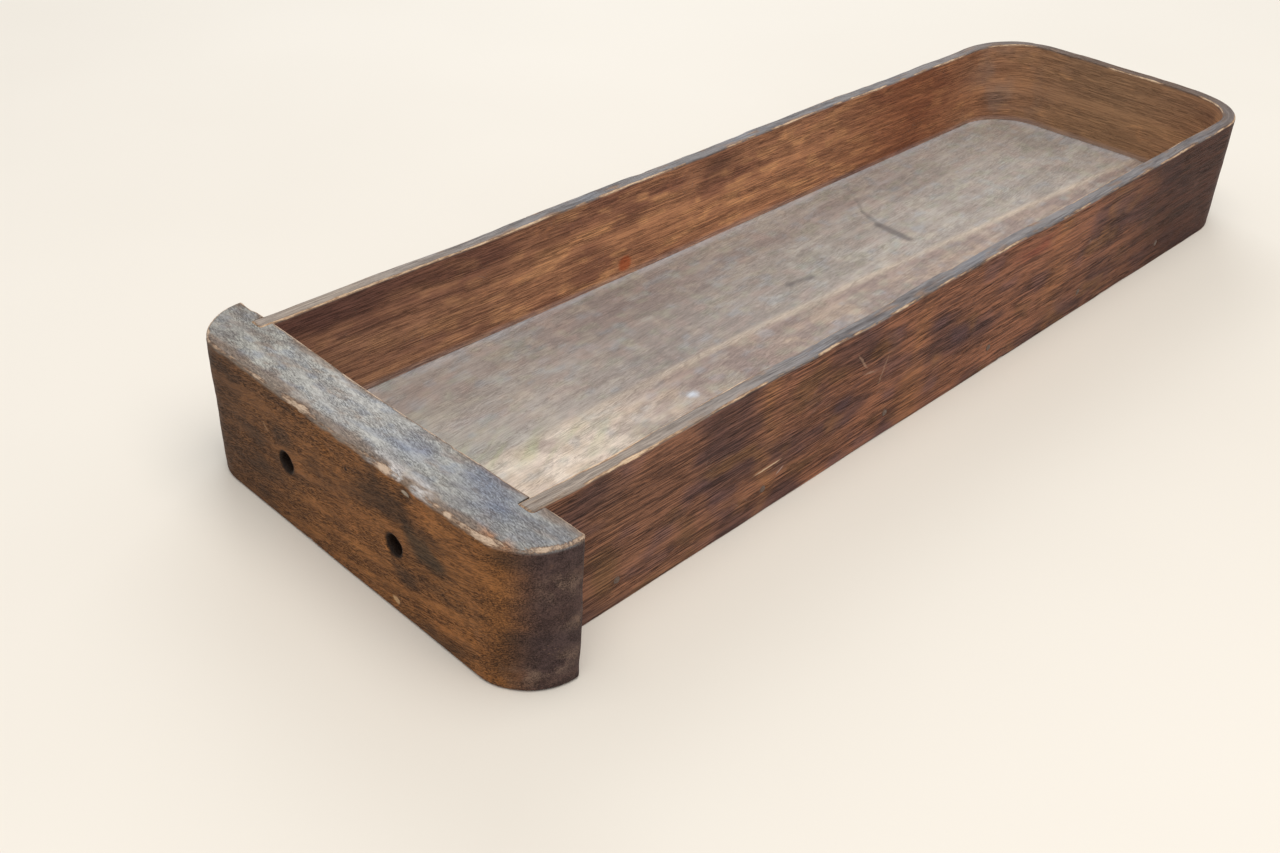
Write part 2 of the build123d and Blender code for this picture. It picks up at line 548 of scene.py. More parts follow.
def remeshed(node, voxel):
    """Points and faces of a CAD node as an even mesh, in millimetres."""
    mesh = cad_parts[node].data.copy()
    work = bmesh.new()
    work.from_mesh(mesh)
    bmesh.ops.remove_doubles(work, verts=work.verts, dist=0.00001)
    work.to_mesh(mesh)
    work.free()
    carrier = new_object("carrier", mesh)
    remesh = carrier.modifiers.new("even", "REMESH")
    remesh.mode = "VOXEL"
    remesh.voxel_size = voxel * MM
    even = bpy.data.meshes.new_from_object(
        carrier.evaluated_get(bpy.context.evaluated_depsgraph_get())
    )
    points, normals = np.zeros((2, len(even.vertices) * 3))
    even.vertices.foreach_get("co", points)
    even.vertices.foreach_get("normal", normals)
    faces = [list(face.vertices) for face in even.polygons]
    bpy.data.objects.remove(carrier)
    return points.reshape(-1, 3) / MM, normals.reshape(-1, 3), faces


def block_outline(x, y):
    """Depth below the block's front and ends, and the outward direction there."""
    half = block_high[0]
    centre_x = half - block_round
    centre_y = block_low[1] + block_round
    side = np.where(x < 0, -1.0, 1.0)
    over_x, over_y = np.abs(x) - centre_x, centre_y - y
    in_corner = (over_x > 0) & (over_y > 0)
    reach = np.maximum(np.hypot(over_x, over_y), 1e-6)
    to_front, to_end = y - block_low[1], half - np.abs(x)
    front_nearer = to_front < to_end
    depth = np.where(in_corner, block_round - reach, np.minimum(to_front, to_end))
    out_x = np.where(in_corner, side * over_x / reach, np.where(front_nearer, 0.0, side))
    out_y = np.where(in_corner, -over_y / reach, np.where(front_nearer, -1.0, 0.0))
    return depth, out_x, out_y


def make_block():
    points, normals, faces = remeshed("front_block", voxel=0.52)
    x, y, z = points.T
    rest = np.stack([x, z, y], axis=-1)
    back_y = block_high[1]
    below_top, above_bottom, from_back = height - z, z.copy(), back_y - y
    from_outline, out_x, out_y = block_outline(x, y)
    start_outline, start_back = from_outline.copy(), from_back.copy()

    # Every edge is worn round, most of all along the top at the front and behind the middle.
    front_bite = chips(x, 7.5, 0.2, 81)
    back_bite = chips(x, 6.5, 0.16, 82)
    worn_right = bump(x, 66, 9)
    front_radius = 1.5 + 0.5 * line_noise(x, 19, 83) + 1.6 * front_bite + 1.5 * worn_right
    front_radius = front_radius + 0.9 * bump(x, 28, 16) + 0.8 * bump(x, -74, 6)
    back_radius = 1.1 + 0.4 * line_noise(x, 17, 84) + 1.0 * back_bite + 2.0 * bump(x, -4, 34)
    low_radius = 1.2 + 0.4 * line_noise(x, 15, 85) + 0.9 * chips(x, 8, 0.12, 86)
    below_top, from_outline = worn_edge(below_top, from_outline, front_radius)
    below_top, from_back = worn_edge(below_top, from_back, back_radius)
    above_bottom, from_outline = worn_edge(above_bottom, from_outline, low_radius)
    above_bottom, from_back = worn_edge(above_bottom, from_back, np.full_like(x, 0.8))
    from_back, from_outline = worn_edge(from_back, from_outline, 1.7 + 0.5 * line_noise(z, 16, 80))

    moved = np.zeros_like(points)
    moved[:, 0] -= out_x * (from_outline - start_outline)
    moved[:, 1] -= out_y * (from_outline - start_outline) + (from_back - start_back)
    moved[:, 2] = np.where(z > height / 2, height - below_top, above_bottom) - z

    # The screw holes have lost the sharp edge of their mouths.
    for side in (-1, 1):
        over_x, over_z = x - side * pull_spacing / 2, z - height / 2
        reach = np.maximum(np.hypot(over_x, over_z), 1e-6)
        around = np.arctan2(over_z, over_x)
        mouth = 1.0 + 0.4 * line_noise(around * 2 + 9 * side, 1.0, 87)
        for depth, face in ((y - block_low[1], -1), (back_y - y, 1)):
            near = (reach < 7) & (depth < 3)
            new_depth, new_reach = worn_edge(depth, reach - pull_hole_radius, mouth)
            spread = np.where(near, new_reach + pull_hole_radius - reach, 0) / reach
            moved[:, 0] += over_x * spread
            moved[:, 2] += over_z * spread
            moved[:, 1] -= face * np.where(near, new_depth - depth, 0)

    # The faces are uneven, with a few dents; inner faces of the joints stay as they are.
    skin = 0.3
    open_face = (start_outline < skin) | (z > height - skin) | (z < skin)
    uneven = 0.16 * rough(rest, (40, 12, 12), 88) + 0.05 * noise(rest, (9, 1.8, 1.8), 89)
    dents = (
        (-2.5, 40.5, 1.6, 0.5), (32.5, 44.7, 1.9, 0.7), (23.8, 4.4, 1.5, 0.45), (58, 13, 2.2, 0.5)
    )
    for dent_x, dent_z, size, deep in dents:
        dent = bump(np.hypot((x - dent_x) / 1.4, z - dent_z), 0, size)
        uneven = uneven - deep * dent * (y < block_low[1] + 4)
    moved += normals * (uneven * open_face)[:, None]
    from_strip = np.abs(np.abs(x) - rim_half + rim_thickness / 2)
    housing = (start_back < housing_depth + 0.4) & (from_strip < 3.3)
    moved -= normals * (0.22 * housing * (np.abs(normals[:, 2]) < 0.5))[:, None]
    moved[:, 2] = np.maximum(moved[:, 2], floor_gap - z)

    # Both ends were cut by eye: they lean a little, and the right one stands out more.
    lean = z / height
    moved[:, 0] += ease(60, 70, x) * (2.1 * lean - 0.8) + ease(-60, -70, x) * (0.6 + 0.7 * lean)

    block = new_piece("worn_block", points + moved, faces)
    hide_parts("front_block")

    top_depth = height - z
    front_edge = np.maximum(top_depth, start_outline)
    back_edge = np.maximum(top_depth, start_back)
    low_edge = np.maximum(z, np.minimum(start_outline, start_back))
    broken = ease(-0.3, 0.6, line_noise(x, 7, 94) + 0.6 * line_noise(x, 2.6, 95))
    broken = np.maximum(0.5 + 0.5 * broken, 0.9 * bump(x, 60, 5))
    broken = np.maximum(broken * (1 - 0.6 * bump(x, 69, 4)), 0.9 * ease(-199, -194, y) * (x > 70))
    bare = 1.15 * broken * ease(0.8 * front_radius, 0.2 * front_radius, front_edge - 0.2)
    broken = ease(-0.5, 0.5, line_noise(x, 6, 96) + 0.6 * line_noise(x, 2.2, 97))
    back_bare = ease(0.8 * back_radius + 0.2, 0.2 * back_radius, back_edge - 0.2)
    bare = np.maximum(bare, (0.7 + 0.6 * broken) * back_bare)
    bare = np.maximum(bare, 0.45 * ease(1.4, 0.2, low_edge))
    # The top is weathered grey, and the bluish tints laid on it are a painted sky sheen.
    greyed = ease(1.9, 0.8, top_depth + 0.35 * line_noise(x, 4, 98))
    # The screw holes are painted near black down their walls and round their mouths: painted shade
    # in the holes.
    in_hole = np.hypot(np.abs(x) - pull_spacing / 2, z - height / 2)
    tint = blend_colour(block_tint(rest), srgb(30, 24, 21), 0.95 * ease(4.4, 3.3, in_hole))
    paint_values(
        block, grain_place=rest, bare=bare, greyed=greyed, calm=0.12 * greyed, tint=tint,
        grey_tint=weathered_top_and_sheen(x, y),
    )
    return block


def weathered_top_and_sheen(x, y):
    """Broad colours of the block's weathered grey top: brown patches, bluish patches that are a
    painted sky sheen, and a pale rub in front.
    """
    place = np.stack([x, y, np.zeros_like(x)], axis=-1) @ turn_plan(-0.15)
    colour = add_patches(srgb(161, 159, 151), place, (
        ((122, 116, 111), 0.8, (6, 2.0, 9), 51, -0.2, 0.8),
    ))
    colour = lay(colour, ((170, 168, 165), 0.7 * bump(x, -4, 28)))
    colour = add_patches(colour, place, (
        ((136, 118, 104), 0.55, (5, 1.8, 9), 52, 0.0, 0.9),
        ((130, 134, 142), 0.55, (5, 2.2, 9), 53, 0.0, 0.8),
    ))
    colour = lay(
        colour,
        ((128, 128, 131), 0.5 * ease(30, 52, x)),
        ((122, 117, 113), 0.45 * ease(-44, -66, x)),
    )
    along_arris = np.minimum(y - block_low[1] - 1.9, 0.8 * (block_high[1] - y))
    browned = ease(2.8, 0.4, along_arris + 1.4 * rough(place, (7, 3, 9), 56))
    colour = lay(colour, ((118, 96, 78), 0.7 * browned))
    # Bluish spots near the front edge: painted sky sheen.
    for blue_x, blue_y, size in ((45, -196, 5), (56, -200, 4), (22, -200, 5)):
        spot = bump(np.hypot((x - blue_x) / 1.6, y - blue_y), 0, size)
        colour = lay(colour, ((104, 118, 146), 0.42 * spot))
    rub = ease(13, 20, x) * ease(45, 38, x) * ease(block_low[1] + 5.5, block_low[1] + 2, y)
    rub = rub * ease(-0.5, 0.4, rough(place, (5, 2, 9), 54))
    colour = lay(colour, ((198, 194, 192), 0.8 * rub))
    rusty = bump(np.hypot((x - 65) / 2.2, y + 209), 0, 2.4) * ease(-0.6, 0.3, rough(place, 3, 55))
    return blend_colour(colour, srgb(186, 132, 92), 0.75 * rusty)


def block_tint(rest):
    """Broad colours of the block: dark brown with ochre patches and dark stains."""
    x, z, y = rest[..., 0], rest[..., 1], rest[..., 2]
    flat = np.stack([x, z, y * 0.5], axis=-1)
    colour = add_patches(srgb(129, 86, 49), flat, (
        ((84, 58, 38), 1, (20, 9, 30), 91, -0.1, 0.7),
        ((150, 101, 57), 0.8, (11, 7, 30), 92, 0.1, 0.8),
    ))
    colour = lay(colour, ((70, 47, 31), 0.85 * ease(-5, -78, x)))
    ochre = ((38, 42, 5, 6), (56, 38, 8, 7), (60, 12, 9, 7), (44, 10, 10, 6), (2, 24, 15, 9))
    for spot_x, spot_z, wide, high in ochre:
        spot = bump(np.hypot((x - spot_x) / wide, (z - spot_z) / high), 0, 1.0)
        colour = lay(colour, ((152, 100, 56), 0.5 * spot))
    stained = np.hypot((x - 39) / 9, (z - 30 + 0.3 * (x - 39)) / 4.2)
    stained = stained + 0.35 * noise(flat, (4, 3, 30), 93)
    colour = lay(colour, ((52, 48, 40), 0.75 * ease(1.3, 0.5, stained)))
    for dark_x, dark_z, size in ((70, 46, 5), (30, 16, 4), (-26, 33, 4), (32, 45, 2.5)):
        blot = np.hypot((x - dark_x) / 1.5, z - dark_z) / size
        colour = lay(colour, ((58, 46, 38), 0.6 * ease(1.3, 0.4, blot)))
    colour = lay(colour, ((72, 58, 60), 0.9 * ease(66, 75, x)))
    for scuff_y, scuff_z, size in ((-198, 35, 4), (-203, 6, 4), (-194, 22, 2.5), (-196, 10, 3)):
        scuff = bump(np.hypot((y - scuff_y) / 1.4, z - scuff_z), 0, size) * (x > 66)
        scuff = scuff * ease(-0.4, 0.4, rough(rest, 3, 99))
        colour = lay(colour, ((138, 116, 102), 0.5 * scuff))
    return colour


# ---- brads ----


def brad_place(node):
    """Middle of a brad's head, and the direction that it faces."""
    low, high = box_mm(node)
    middle = (low + high) / 2
    if high[1] - low[1] > high[0] - low[0]:
        facing = np.array([0.0, 1.0, 0.0])
    else:
        facing = np.array([math.copysign(1.0, middle[0]), 0.0, 0.0])
    head = middle + facing * (high - low) / 2
    return head, facing, float(np.max(high - low)), float(np.min(high - low)) / 2


def make_brad(node, seed):
    """A cut wire brad, its head battered and set just below the wood."""
    head, facing, length, head_radius = brad_place(node)
    sunk = 0.12
    shank = head_radius * 0.54
    profile = [(0.0, 0.05)]
    for angle in np.linspace(0.25, 1.35, 6):
        profile.append((head_radius * math.sin(angle), 0.05 - 0.22 * (1 - math.cos(angle))))
    profile += [(head_radius, -0.3), (head_radius * 0.93, -0.5)]
    profile += [(shank * 1.15, -0.55), (shank, -0.8)]
    profile += [(shank * (1 + 0.05 * (k % 2)), -0.8 - 0.35 * k) for k in range(1, 8)]
    profile += [(shank, -depth) for depth in np.linspace(4, length - 1.9, 8)]
    profile += [(shank * 0.55, -length + 0.9), (shank * 0.12, -length + 0.15)]
    sides = 28
    turn = np.arange(sides) / sides * 2 * math.pi
    across = np.cross(facing, [0, 0, 1.0])
    points = [head + facing * (profile[0][1] - sunk)]
    for radius, depth in profile[1:]:
        wobble = 1 + 0.06 * np.sin(turn * 3 + seed) * (depth > -0.5)
        ring = np.cos(turn)[:, None] * across + np.sin(turn)[:, None] * np.array([0, 0, 1.0])
        points += list(head + facing * (depth - sunk) + ring * (radius * wobble)[:, None])
    points.append(head - facing * (length - 0.05))
    rings = len(profile) - 1
    faces = [[0, 1 + (k + 1) % sides, 1 + k] for k in range(sides)]
    faces += (np.array(ring_faces(rings, sides)[:-2]) + 1).tolist()
    last = 1 + (rings - 1) * sides
    faces += [[last + k, last + (k + 1) % sides, len(points) - 1] for k in range(sides)]
    points = np.array(points)
    faces = [face[::-1] for face in faces] if facing[0] + facing[1] < 0 else faces
    brad = new_piece("worn_" + node, points, faces)
    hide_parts(node)
    paint_values(brad, grain_place=points)
    return brad


# ---- shader building blocks ----


def feed(tree, node, inputs):
    """Sets a node's inputs, each to a value or to the socket that feeds it."""
    for key, value in inputs.items():
        if isinstance(value, bpy.types.NodeSocket):
            tree.links.new(value, node.inputs[key])
        else:
            node.inputs[key].default_value = value


def add(tree, kind, inputs=None, **settings):
    """A new shader node with its settings and inputs."""
    node = tree.nodes.new("ShaderNode" + kind)
    for name, value in settings.items():
        setattr(node, name, value)
    feed(tree, node, inputs or {})
    return node


def calc(tree, operation, *values):
    return add(tree, "Math", dict(enumerate(values)), operation=operation).outputs[0]


def plus(tree, base, *parts):
    """A value with others added to it, each given with its weight."""
    for value, weight in parts:
        base = calc(tree, "MULTIPLY_ADD", value, weight, base)
    return base


def vector_calc(tree, operation, *values):
    return add(tree, "VectorMath", dict(enumerate(values)), operation=operation).outputs[0]


def turn_flat(tree, place, angle):
    """Turns places in the plane of the surface."""
    inputs = {"Vector": place, "Angle": angle}
    return add(tree, "VectorRotate", inputs, rotation_type="Z_AXIS").outputs[0]


def mix(tree, share, base, other, blend="MIX"):
    node = add(tree, "Mix", {0: share, 6: base, 7: other}, data_type="RGBA", blend_type=blend)
    return node.outputs[2]


def cover(tree, colour, mask, strength, tone):
    """A colour covered by another where the mask is."""
    return mix(tree, calc(tree, "MULTIPLY", mask, strength), colour, tone)


def times(tree, colour, tone):
    return mix(tree, 1.0, colour, tone, "MULTIPLY")


def fade(tree, value, low, high):
    """0 below low, 1 above high and smooth between; or the other way round."""
    inputs = {"Value": value, "From Min": low, "From Max": high}
    return add(tree, "MapRange", inputs, interpolation_type="SMOOTHSTEP").outputs[0]


def spots(tree, place, size, detail=2.0, roughness=0.5):
    """Noise whose spots have the given size in millimetres along, up and through the wood."""
    scaled = vector_calc(tree, "MULTIPLY", place, [1 / length for length in size])
    inputs = {"Vector": scaled, "Scale": 1.0, "Detail": detail, "Roughness": roughness}
    return add(tree, "TexNoise", inputs).outputs[0]


def rgba(red, green, blue):
    return (*srgb(red, green, blue), 1.0)


def new_group(name, inputs, outputs):
    """An empty node group, with its input and output nodes.

    Sockets called Place or Middle carry a place and the others a number.
    """
    group = bpy.data.node_groups.new(name, "ShaderNodeTree")
    for direction, sockets in (("INPUT", inputs), ("OUTPUT", outputs)):
        for socket in sockets:
            kind = "NodeSocketVector" if socket in ("Place", "Middle") else "NodeSocketFloat"
            group.interface.new_socket(name=socket, in_out=direction, socket_type=kind)
    return group, group.nodes.new("NodeGroupInput").outputs, group.nodes.new("NodeGroupOutput")


def use_group(tree, group, inputs):
    return add(tree, "Group", inputs, node_tree=group).outputs


def make_oak_figure():
    """Bands, streaks, fibres and open pores that run along the first direction."""
    inputs = ["Place", "Seed", "Waviness", "Length", "Climb", "Runout"]
    group, given, result = new_group("oak figure", inputs, ["Tone", "Pores", "Relief"])
    along = add(group, "SeparateXYZ", {0: given["Place"]}).outputs[0]
    slope = add(group, "CombineXYZ", {1: given["Climb"], 2: given["Runout"]}).outputs[0]
    drop = add(group, "VectorMath", {0: slope, "Scale": along}, operation="SCALE").outputs[0]
    place = vector_calc(group, "SUBTRACT", given["Place"], drop)
    squeeze = {0: calc(group, "DIVIDE", 1.0, given["Length"]), 1: 1.0, 2: 1.0}
    squeeze = add(group, "CombineXYZ", squeeze).outputs[0]
    place = vector_calc(group, "MULTIPLY", place, squeeze)
    step = {0: [37.0, 11.0, 5.0], "Scale": given["Seed"]}
    step = add(group, "VectorMath", step, operation="SCALE").outputs[0]
    place = vector_calc(group, "ADD", place, step)
    soft = vector_calc(group, "MULTIPLY", place, [1 / 55, 1 / 9, 1 / 9])
    drift = add(group, "TexNoise", {"Vector": soft, "Scale": 1.0, "Detail": 1.0}).outputs["Color"]
    drift = vector_calc(group, "SUBTRACT", drift, [0.5, 0.5, 0.5])
    amount = add(group, "CombineXYZ", {1: given["Waviness"], 2: given["Waviness"]}).outputs[0]
    place = vector_calc(group, "MULTIPLY_ADD", drift, amount, place)

    bands = spots(group, place, (90, 4.0, 4.0), 2.0)
    streaks = spots(group, place, (14, 0.48, 0.48), 3.0, 0.6)
    fibres = spots(group, place, (6, 0.32, 0.32), 2.0, 0.6)
    grit = spots(group, place, (0.8, 0.24, 0.24), 3.0, 0.7)
    tone = calc(group, "MULTIPLY", streaks, 1.1)
    tone = fade(group, plus(group, tone, (bands, 0.25), (fibres, 0.6), (grit, 0.4)), 1.0, 1.36)

    short_pores = fade(group, spots(group, place, (4.5, 0.27, 0.27), 1.0), 0.57, 0.63)
    long_pores = fade(group, spots(group, place, (13, 0.36, 0.36), 2.0), 0.56, 0.62)
    crowded = fade(group, bands, 0.66, 0.42)
    pores = calc(group, "MULTIPLY", calc(group, "MAXIMUM", short_pores, long_pores), crowded)
    pores = plus(group, calc(group, "MULTIPLY", pores, 0.75), (short_pores, 0.25))
    relief = plus(group, calc(group, "MULTIPLY", streaks, 0.6), (fibres, 0.5))
    relief = calc(group, "SUBTRACT", relief, pores)
    feed(group, result, {"Tone": tone, "Pores": pores, "Relief": relief})
    return group


def make_edge_wear():
    """Turns the smooth wear kept on the mesh into bare wood with a ragged border."""
    group, given, result = new_group("edge wear", ["Place", "Bare"], ["Worn", "Fresh"])
    ragged = spots(group, given["Place"], (2.6, 0.6, 0.6), 4.0, 0.7)
    coarse = spots(group, given["Place"], (14, 8, 8), 1.0)
    value = plus(group, given["Bare"], (ragged, 1.9), (coarse, 0.9))
    present = fade(group, given["Bare"], 0.02, 0.3)
    worn = calc(group, "MULTIPLY", fade(group, value, 1.80, 2.15), present)
    fresh = calc(group, "MULTIPLY", fade(group, value, 2.15, 2.5), present)
    feed(group, result, {"Worn": worn, "Fresh": fresh})
    return group


def make_blotches():
    """Soft uneven patches, such as thin polish, dirt or damp."""
    inputs = ["Place", "Size", "Stretch", "Share"]
    group, given, result = new_group("blotches", inputs, ["Mask"])
    along = calc(group, "DIVIDE", 1.0, calc(group, "MULTIPLY", given["Size"], given["Stretch"]))
    across = calc(group, "DIVIDE", 1.0, given["Size"])
    scale = add(group, "CombineXYZ", {0: along, 1: across, 2: across}).outputs[0]
    scaled = vector_calc(group, "MULTIPLY", given["Place"], scale)
    inputs = {"Vector": scaled, "Scale": 1.0, "Detail": 4.0, "Roughness": 0.62}
    value = plus(group, add(group, "TexNoise", inputs).outputs[0], (given["Share"], 0.5))
    feed(group, result, {"Mask": fade(group, value, 0.66, 0.84)})
    return group


def make_nicks():
    """Small pale knocks and fine scratches scattered over a surface."""
    group, given, result = new_group("nicks", ["Place", "Share"], ["Mask"])
    gathered = spots(group, given["Place"], (26, 16, 16), 2.0)
    gathered = fade(group, plus(group, gathered, (given["Share"], 0.5)), 0.62, 0.8)
    knocks = fade(group, spots(group, given["Place"], (1.5, 0.55, 0.9), 1.0), 0.73, 0.78)
    total = knocks
    for angle, length in ((0.45, 7.0), (-0.8, 5.0), (1.35, 6.0)):
        turned = turn_flat(group, given["Place"], angle)
        scratch = fade(group, spots(group, turned, (length, 0.22, 0.8), 0.0), 0.775, 0.80)
        total = calc(group, "MAXIMUM", total, scratch)
    feed(group, result, {"Mask": calc(group, "MULTIPLY", total, gathered)})
    return group


def make_mark():
    """One mark at a chosen place: a spot, stroke or stain with a slightly ragged border."""
    inputs = ["Place", "Middle", "Turn", "Half Length", "Half Width", "Ragged"]
    group, given, result = new_group("mark", inputs, ["Mask"])
    ragged = add(group, "TexNoise", {"Vector": given["Place"], "Scale": 0.8, "Detail": 2.0})
    offset = vector_calc(group, "SUBTRACT", ragged.outputs["Color"], [0.5, 0.5, 0.5])
    push = add(group, "VectorMath", {0: offset, "Scale": given["Ragged"]}, operation="SCALE")
    place = vector_calc(group, "ADD", given["Place"], push.outputs[0])
    place = vector_calc(group, "SUBTRACT", place, given["Middle"])
    place = turn_flat(group, place, given["Turn"])
    size = add(group, "CombineXYZ", {0: given["Half Length"], 1: given["Half Width"], 2: 2.5})
    scaled = vector_calc(group, "DIVIDE", place, size.outputs[0])
    reach = add(group, "VectorMath", {0: scaled}, operation="LENGTH").outputs["Value"]
    feed(group, result, {"Mask": fade(group, reach, 1.15, 0.6)})
    return group


oak_figure = make_oak_figure()
edge_wear = make_edge_wear()
blotches = make_blotches()
nicks = make_nicks()
mark = make_mark()


# ---- materials ----


def new_material(name):
    material = bpy.data.materials.new(name)
    material.use_nodes = True
    return material, material.node_tree, material.node_tree.nodes["Principled BSDF"]


def kept(tree, name, output="Fac"):
    """A value kept on the mesh."""
    return add(tree, "Attribute", attribute_name=name).outputs[output]


def set_bump(tree, surface, height, depth):
    """Relief of the given depth in millimetres."""
    node = add(tree, "Bump", {"Height": height, "Strength": 1.0, "Distance": depth * MM})
    tree.links.new(node.outputs[0], surface.inputs["Normal"])


def blotch_mask(tree, place, size, stretch, share):
    """Where uneven patches lie, by their size, how much longer they are, and their share."""
    inputs = {"Place": place, "Size": size, "Stretch": stretch, "Share": share}
    return use_group(tree, blotches, inputs)["Mask"]


def oak_finish(name):
    """Stained oak with grain, pores, patchy polish, weathered grey tops with a painted sky sheen,
    bare edges and marks.
    """
    column = list(MARKS).index(name)
    look = {quality: values[column] for quality, values in LOOKS.items()}
    material, tree, surface = new_material(name)
    place = kept(tree, "grain_place", "Vector")
    tint = kept(tree, "tint", "Color")
    greyed, calm = kept(tree, "greyed"), kept(tree, "calm")
    figure = use_group(tree, oak_figure, {
        "Place": place, "Seed": look["seed"], "Waviness": look["waviness"],
        "Length": look["grain_length"], "Climb": look["climb"], "Runout": look["runout"],
    })
    quiet = calc(tree, "SUBTRACT", 1.0, calm)
    tone = calc(tree, "SUBTRACT", figure["Tone"], 0.55)
    tone = calc(tree, "MULTIPLY_ADD", tone, quiet, 0.55)
    pores = calc(tree, "MULTIPLY", figure["Pores"], quiet)

    dark = times(tree, tint, look["dark_streak"])
    colour = mix(tree, tone, dark, times(tree, tint, look["light_streak"]))
    patches = blotch_mask(tree, place, 5.0, 2.2, look["patch_share"])
    colour = cover(tree, colour, patches, 0.6, times(tree, tint, look["patch"]))
    dirt = blotch_mask(tree, place, 2.4, 3.0, look["dirt_share"])
    colour = cover(tree, colour, dirt, 0.55, dark)
    colour = cover(tree, colour, pores, look["pore_strength"], look["pore"])

    # Weathered grey tops; the bluish tints in their colours are a painted sky sheen.
    grey_tint = kept(tree, "grey_tint", "Color")
    grey = mix(tree, tone, times(tree, grey_tint, (0.72, 0.71, 0.71, 1)),
               times(tree, grey_tint, (1.16, 1.15, 1.13, 1)))
    grey = cover(tree, grey, dirt, 0.4, rgba(98, 84, 74))
    grey = cover(tree, grey, pores, 0.4, rgba(72, 66, 64))
    colour = mix(tree, greyed, colour, grey)

    wear = use_group(tree, edge_wear, {"Place": place, "Bare": kept(tree, "bare")})
    bare = mix(tree, tone, look["bare_dark"], look["bare_light"])
    colour = cover(tree, colour, wear["Worn"], look["bare_strength"], bare)
    colour = cover(tree, colour, wear["Fresh"], look["bare_strength"], look["fresh"])
    scattered = use_group(tree, nicks, {"Place": place, "Share": look["nick_share"]})["Mask"]
    colour = cover(tree, colour, scattered, 0.7, look["nick"])
    for middle, turn, half_length, half_width, ragged, strength, mark_colour in MARKS[name]:
        mask = use_group(tree, mark, {
            "Place": place, "Middle": middle, "Turn": turn, "Half Length": half_length,
            "Half Width": half_width, "Ragged": ragged,
        })["Mask"]
        colour = cover(tree, colour, mask, strength, mark_colour)

    polish = plus(
        tree, look["roughness"], (patches, -0.08), (pores, 0.2), (dirt, 0.1), (greyed, 0.06)
    )
    shine = look["shine"]
    feed(tree, surface, {"Base Color": colour, "Roughness": polish, "Specular IOR Level": shine})
    relief = plus(tree, figure["Relief"], (scattered, -0.8), (wear["Worn"], -0.7))
    set_bump(tree, surface, relief, look["relief"])
    return material


# The three finishes side by side.  Streaks and patches multiply the broad colours.
LOOKS = {
    # quality: block, rim, bottom
    "seed": (3.0, 8.0, 15.0),
    "waviness": (2.2, 1.3, 2.0),
    "grain_length": (0.55, 1.7, 0.6),
    "climb": (0.2, 0.0, -0.08),
    "runout": (-0.12, 0.01, 0.03),
    "roughness": (0.6, 0.57, 0.66),
    "shine": (0.15, 0.16, 0.25),
    "relief": (0.16, 0.16, 0.08),
    "dark_streak": ((0.62, 0.59, 0.58, 1), (0.5, 0.47, 0.48, 1), (0.85, 0.84, 0.84, 1)),
    "light_streak": ((1.28, 1.24, 1.15, 1), (1.33, 1.29, 1.21, 1), (1.11, 1.10, 1.09, 1)),
    "patch": ((1.5, 1.35, 1.05, 1), (1.45, 1.3, 1.1, 1), (1.12, 1.11, 1.09, 1)),
    "patch_share": (0.22, 0.14, 0.24),
    "dirt_share": (0.2, 0.16, 0.12),
    "pore": (rgba(38, 27, 22), rgba(38, 25, 23), rgba(116, 104, 98)),
    "pore_strength": (0.75, 0.7, 0.45),
    "bare_dark": (rgba(122, 92, 70), rgba(140, 104, 78), rgba(180, 162, 144)),
    "bare_light": (rgba(172, 144, 120), rgba(196, 160, 126), rgba(198, 180, 160)),
    "fresh": (rgba(206, 182, 158), rgba(220, 192, 160), rgba(206, 190, 170)),
    "bare_strength": (0.75, 0.85, 0.8),
    "nick": (rgba(176, 142, 108), rgba(158, 134, 122), rgba(196, 190, 184)),
    "nick_share": (0.0, 0.14, -0.1),
}

# Marks: middle, turn, half length, half width, raggedness, strength and colour.
front_face, rim_face = -211, rim_thickness / 2
MARKS = {
    "block_oak": [
        ((23.8, 4.2, front_face), 0.3, 1.8, 1.1, 0.6, 0.9, rgba(198, 160, 118)),
        ((6.0, 38.9, front_face), 0.0, 0.8, 0.7, 0.3, 0.9, rgba(28, 20, 18)),
        ((32.0, 44.9, front_face), 0.2, 1.6, 0.8, 0.5, 0.7, rgba(190, 178, 160)),
        ((-34.5, 32.0, front_face), 0.9, 1.8, 0.5, 0.5, 0.5, rgba(164, 128, 92)),
    ],
    "rim_oak": [
        ((right_run(-103), 16.4, rim_face), 0.03, 6.5, 0.35, 0.5, 0.9, rgba(216, 184, 150)),
        ((right_run(-97), 12.5, rim_face), 0.5, 2.0, 0.3, 0.5, 0.6, rgba(190, 170, 160)),
        ((right_run(-60), 36, rim_face), -0.9, 5.0, 0.5, 1.4, 0.6, rgba(166, 134, 112)),
        ((right_run(-48), 28, rim_face), 1.2, 6.0, 0.5, 1.6, 0.5, rgba(160, 130, 108)),
        ((right_run(-55), 30, rim_face), -0.2, 4.0, 0.4, 1.2, 0.5, rgba(170, 140, 120)),
        ((151.2, 17.0, -rim_face), 0.0, 3.7, 3.4, 0.9, 0.75, rgba(178, 86, 46)),
    ],
    "bottom_oak": [],
}


def brad_iron():
    """Dull iron with brown rust."""
    material, tree, surface = new_material("brad_iron")
    place = kept(tree, "grain_place", "Vector")
    rust = blotch_mask(tree, place, 0.5, 1.0, 0.35)
    speck = fade(tree, spots(tree, place, (0.2, 0.2, 0.2), 2.0), 0.4, 0.65)
    iron = mix(tree, speck, rgba(86, 72, 64), rgba(128, 110, 98))
    brown = mix(tree, speck, rgba(78, 50, 38), rgba(124, 84, 60))
    feed(tree, surface, {
        "Base Color": mix(tree, rust, iron, brown),
        "Metallic": plus(tree, 0.45, (rust, -0.4)),
        "Roughness": plus(tree, 0.5, (rust, 0.3)),
    })
    set_bump(tree, surface, calc(tree, "ADD", speck, rust), 0.03)
    return material


